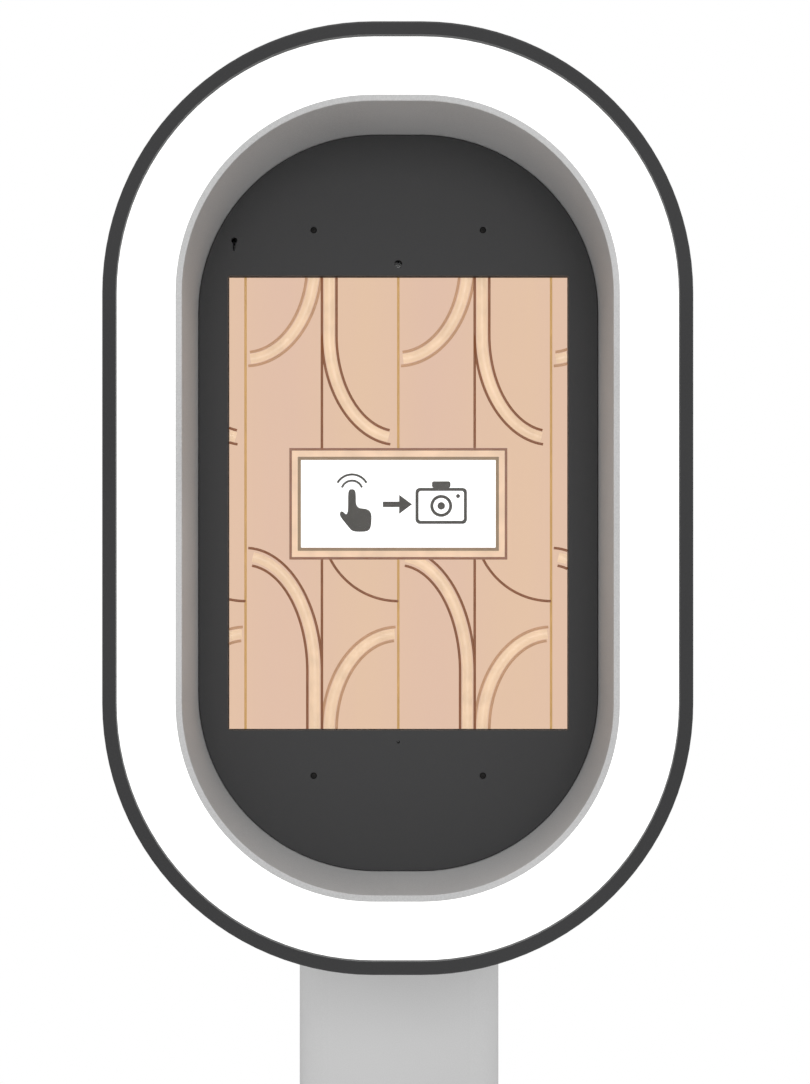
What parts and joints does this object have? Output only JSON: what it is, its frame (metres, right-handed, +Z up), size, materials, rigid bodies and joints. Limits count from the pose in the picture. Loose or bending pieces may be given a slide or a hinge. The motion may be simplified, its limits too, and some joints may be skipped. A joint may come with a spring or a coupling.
{
  "type": "photo booth",
  "caption": "Free-standing photo booth: oval ring-light head round a recessed tablet, tilting on a height-adjustable column with a flat base.",
  "frame": {"origin": "on the floor, at the centre of the base plate", "axes": "+Z up, -Y is the front that the screen faces, +X is the right as seen from the front"},
  "size_m": [0.42, 0.4, 1.5565],
  "materials": {
    "dark_plastic": "fine satin texture",
    "opal": "opal, lit from behind",
    "white_metal": "white powder coat",
    "strip": "flexible light strip",
    "zinc": "zinc plated",
    "zinc_screw": "zinc plated",
    "reveal_grey": "satin light grey",
    "plate_black": "matt dark powder coat",
    "black_screw": "black oxide",
    "steel": "plain",
    "black_plastic": "moulded",
    "nickel": "nickel plated",
    "tablet_alu": "fine bead-blasted",
    "cover_glass": "clear",
    "display": "lit display",
    "lens": "clear over black",
    "panel_black": "fine texture powder coat",
    "driver_case": "extruded case",
    "board_green": "solder resist",
    "white_plastic": "moulded",
    "white_lead": "smooth jacket",
    "black_lead": "smooth jacket",
    "rocker_black": "glossy",
    "knob_black": "moulded grip",
    "bracket_black": "powder coat",
    "washer": "friction washer",
    "column_grey": "light grey satin powder coat",
    "lower_grey": "light grey satin powder coat",
    "bush": "low-friction plastic",
    "cylinder_black": "gloss black",
    "rod": "hard chrome",
    "base_grey": "light grey satin powder coat",
    "rubber_feet": "moulded"
  },
  "bodies": {
    "base": {"base_plate": "base_grey", "rubber_feet": "rubber_feet", "column_foot": "lower_grey", "foot_screws": "black_screw", "lower_column": "lower_grey", "top_bush": "bush", "height_collar": "black_plastic", "height_pad": "bush", "gas_spring_body": "cylinder_black"},
    "height_lock": {"height_knob": "knob_black"},
    "mast": {"upper_column": "column_grey", "bottom_bush": "bush", "mast_plug": "zinc", "gas_spring_rod": "rod", "column_head": "column_grey", "column_head_screws": "black_screw"},
    "tilt_lock": {"tilt_knob": "knob_black"},
    "plate": {"faceplate": "plate_black", "faceplate_screws": "black_screw", "keeper_discs": "steel"},
    "rocker": {"power_rocker": "rocker_black"},
    "dimmer": {"dimmer_knob": "knob_black", "dimmer_shaft": "steel"},
    "power_button": {"tablet_power_button": "tablet_alu"},
    "volume_key": {"tablet_volume_key": "tablet_alu"},
    "head": {"front_bezel": "dark_plastic", "light_diffuser": "opal", "light_tray": "white_metal", "led_strip": "strip", "ring_spacers": "zinc", "frame_screws": "zinc_screw", "reveal_ring": "reveal_grey", "magnet_posts": "black_plastic", "magnets": "nickel", "tablet_body": "tablet_alu", "tablet_glass": "cover_glass", "tablet_display": "display", "tablet_camera": "lens", "tablet_cup": "black_plastic", "tablet_clips": "black_plastic", "cradle_plate": "zinc", "rear_shell": "dark_plastic", "rear_shell_screws": "black_screw", "rear_panel": "panel_black", "rear_panel_screws": "black_screw", "chassis_posts": "steel", "led_driver": "driver_case", "control_board": "board_green", "usb_supply": "black_plastic", "charge_plug": "white_plastic", "charge_lead": "white_lead", "signal_leads": "black_lead", "mains_leads": "black_lead", "power_inlet": "black_plastic", "rocker_frame": "black_plastic", "dimmer_pot": "steel", "head_bracket": "bracket_black", "bracket_bolts": "black_screw", "tilt_bolt": "steel", "tilt_washers": "washer"}
  },
  "joints": [
    {"name": "height_slide", "type": "slide", "parent": "base", "child": "mast", "axis": [0, 0, 1], "range_m": [0, 0.25]},
    {"name": "height_lock_turn", "type": "hinge", "parent": "base", "child": "height_lock", "pos_m": [0, 0.039, 0.88], "axis": [0, 1, 0], "range_deg": [0, 300]},
    {"name": "head_tilt", "type": "hinge", "parent": "mast", "child": "head", "pos_m": [0, 0.024, 1.3], "axis": [1, 0, 0], "range_deg": [-25, 7]},
    {"name": "tilt_lock_turn", "type": "hinge", "parent": "head", "child": "tilt_lock", "pos_m": [0.045, 0.024, 1.3], "axis": [1, 0, 0], "range_deg": [0, 300]},
    {"name": "faceplate_lift_out", "type": "slide", "parent": "head", "child": "plate", "axis": [0, -1, 0], "range_m": [0, 0.09]},
    {"name": "rocker_tip", "type": "hinge", "parent": "head", "child": "rocker", "pos_m": [-0.0825, -0.03567, 1.1385], "axis": [1, 0, 0], "range_deg": [-18, 0]},
    {"name": "dimmer_turn", "type": "hinge", "parent": "head", "child": "dimmer", "pos_m": [0.0885, -0.026, 1.1795], "axis": [0, 1, 0], "range_deg": [-135, 135]},
    {"name": "power_button_press", "type": "slide", "parent": "head", "child": "power_button", "axis": [0, 0, -1], "range_m": [0, 0.0004], "stiffness_N_per_m": 1500},
    {"name": "volume_key_press", "type": "slide", "parent": "head", "child": "volume_key", "axis": [-1, 0, 0], "range_m": [0, 0.0004], "stiffness_N_per_m": 1500}
  ]
}
